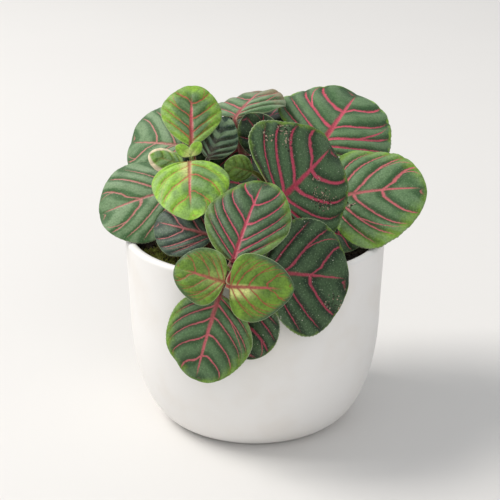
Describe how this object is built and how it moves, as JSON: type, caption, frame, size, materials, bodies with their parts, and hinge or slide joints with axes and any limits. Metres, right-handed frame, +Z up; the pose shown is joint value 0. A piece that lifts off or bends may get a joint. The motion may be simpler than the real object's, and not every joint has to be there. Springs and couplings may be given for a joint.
{
  "type": "potted nerve plant",
  "caption": "Leafy houseplant with dark green, pink-veined leaves, growing over the rim of a white round-bottomed ceramic pot.",
  "frame": {"origin": "middle of the pot's foot, on the pot's axis and on the surface that it stands on", "axes": "+Z up along the pot's axis; -Y towards the side that the leaves spill over most; +X to the right seen from that side"},
  "size_m": [0.1486, 0.1537, 0.154],
  "materials": {
    "ceramic": "smooth matte white ceramic with a soft satin sheen",
    "soil": "loose dark potting soil with crumbs of bark and patches of moss",
    "stem": "fleshy reddish green stem with fine pale hairs",
    "mature_leaf": "velvety dark green leaf with raised quilting and sunken pink veins",
    "young_leaf": "soft bright lime green leaf with red and pink veins and a pale edge"
  },
  "bodies": {
    "root": {"pot": "ceramic", "soil": "soil", "stem_back": "stem", "stem_front": "stem", "stem_left": "stem", "stem_rear": "stem", "stem_right": "stem", "stem_side": "stem", "bud_left": "young_leaf", "leaf_back_away": "mature_leaf", "leaf_back_down": "mature_leaf", "leaf_back_high": "mature_leaf", "leaf_back_left": "mature_leaf", "leaf_back_low": "mature_leaf", "leaf_back_right": "mature_leaf", "leaf_front_down": "mature_leaf", "leaf_front_floor": "mature_leaf", "leaf_front_left": "mature_leaf", "leaf_front_right": "mature_leaf", "leaf_front_tip_left": "young_leaf", "leaf_front_tip_right": "young_leaf", "leaf_front_under": "mature_leaf", "leaf_front_up": "mature_leaf", "leaf_left_curled": "young_leaf", "leaf_left_high": "mature_leaf", "leaf_left_inner": "mature_leaf", "leaf_left_low": "mature_leaf", "leaf_left_lower": "mature_leaf", "leaf_left_puckered": "mature_leaf", "leaf_left_tip_down": "young_leaf", "leaf_left_tip_up": "young_leaf", "leaf_rear_in": "mature_leaf", "leaf_rear_low": "mature_leaf", "leaf_rear_out": "mature_leaf", "leaf_rear_right": "mature_leaf", "leaf_right_floor": "mature_leaf", "leaf_right_folded": "mature_leaf", "leaf_right_front": "mature_leaf", "leaf_right_high": "mature_leaf", "leaf_right_inner": "mature_leaf", "leaf_right_low": "mature_leaf", "leaf_right_lower": "mature_leaf", "leaf_right_rear": "mature_leaf", "leaf_right_small": "young_leaf", "leaf_side_back": "mature_leaf", "leaf_side_low": "mature_leaf", "leaf_side_out": "mature_leaf"}
  },
  "joints": []
}
